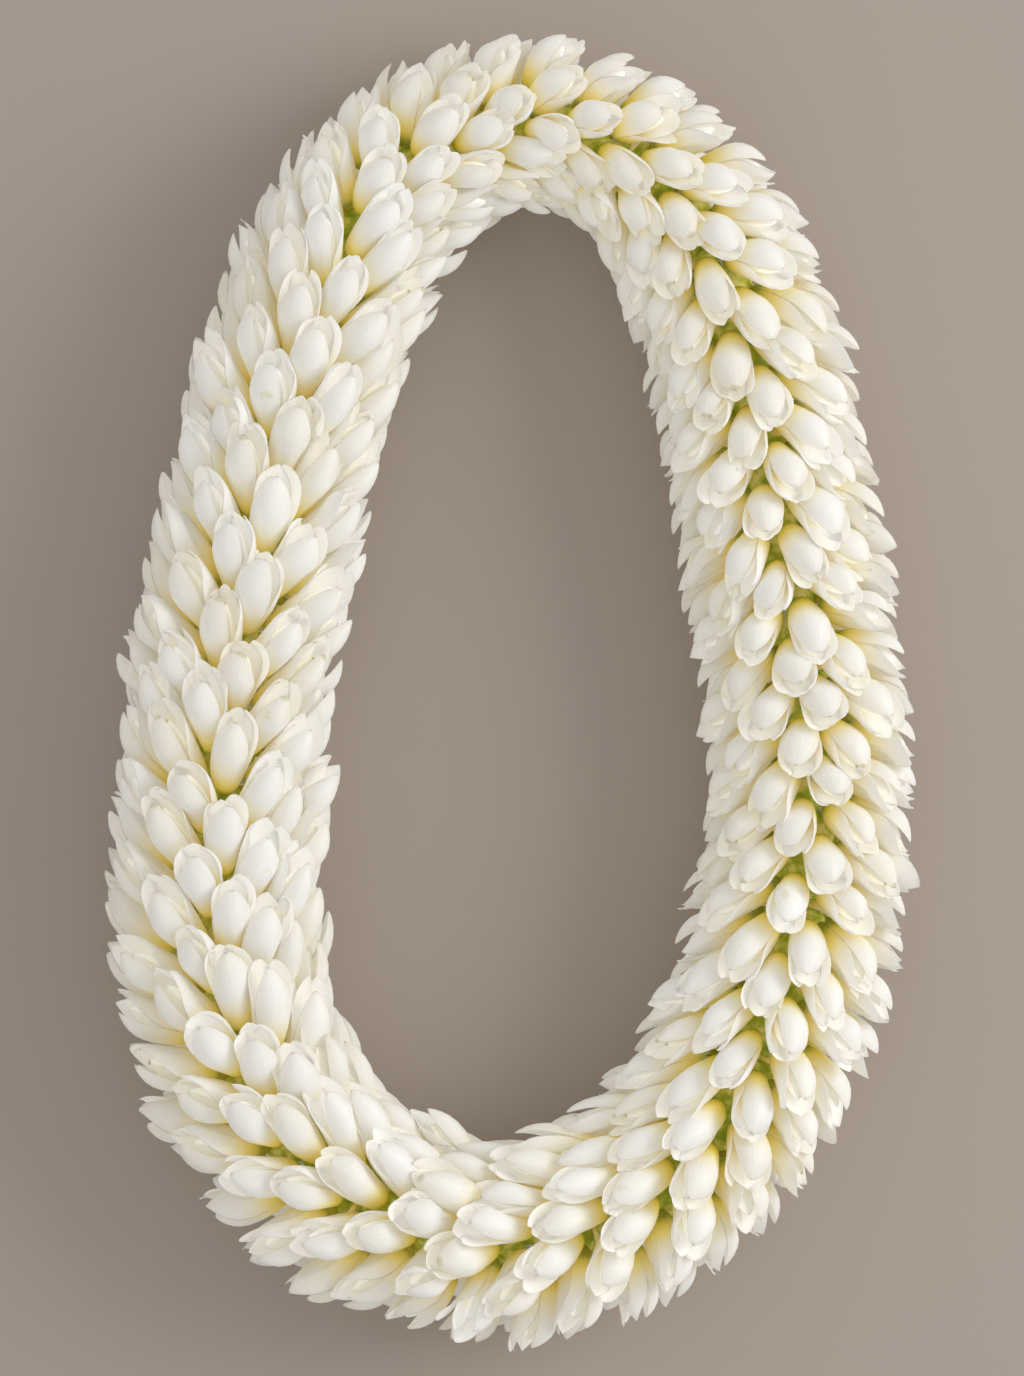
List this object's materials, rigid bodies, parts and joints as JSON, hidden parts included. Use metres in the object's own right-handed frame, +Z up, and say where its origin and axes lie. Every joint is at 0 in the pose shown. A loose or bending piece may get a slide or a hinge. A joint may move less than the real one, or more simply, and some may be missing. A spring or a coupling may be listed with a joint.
{
  "type": "fresh flower lei",
  "caption": "Closed loop of fresh white flower buds strung radially on a thread, lying flat in an egg-shaped ring, for wearing round the neck.",
  "frame": {"origin": "middle of the bounding box, on the surface that the lei lies on", "axes": "+Y along the loop's length towards its narrow end, +X across the loop, +Z up from the surface; the bud tips lean clockwise round the loop as seen from above"},
  "size_m": [0.2916, 0.4735, 0.079],
  "materials": {
    "bud_white": "satin, waxy fresh petals",
    "base_green": "matte, fresh green flower bases",
    "thread_white": "matte twisted cotton thread"
  },
  "bodies": {
    "root": {"buds_01": "bud_white", "buds_02": "bud_white", "buds_03": "bud_white", "buds_04": "bud_white", "buds_05": "bud_white", "buds_06": "bud_white", "buds_07": "bud_white", "buds_08": "bud_white", "buds_09": "bud_white", "buds_10": "bud_white", "buds_11": "bud_white", "buds_12": "bud_white", "buds_13": "bud_white", "buds_14": "bud_white", "buds_15": "bud_white", "buds_16": "bud_white", "buds_17": "bud_white", "bases_01": "base_green", "bases_02": "base_green", "bases_03": "base_green", "bases_04": "base_green", "bases_05": "base_green", "bases_06": "base_green", "bases_07": "base_green", "bases_08": "base_green", "bases_09": "base_green", "bases_10": "base_green", "bases_11": "base_green", "bases_12": "base_green", "bases_13": "base_green", "bases_14": "base_green", "bases_15": "base_green", "bases_16": "base_green", "bases_17": "base_green", "thread": "thread_white"}
  },
  "joints": []
}
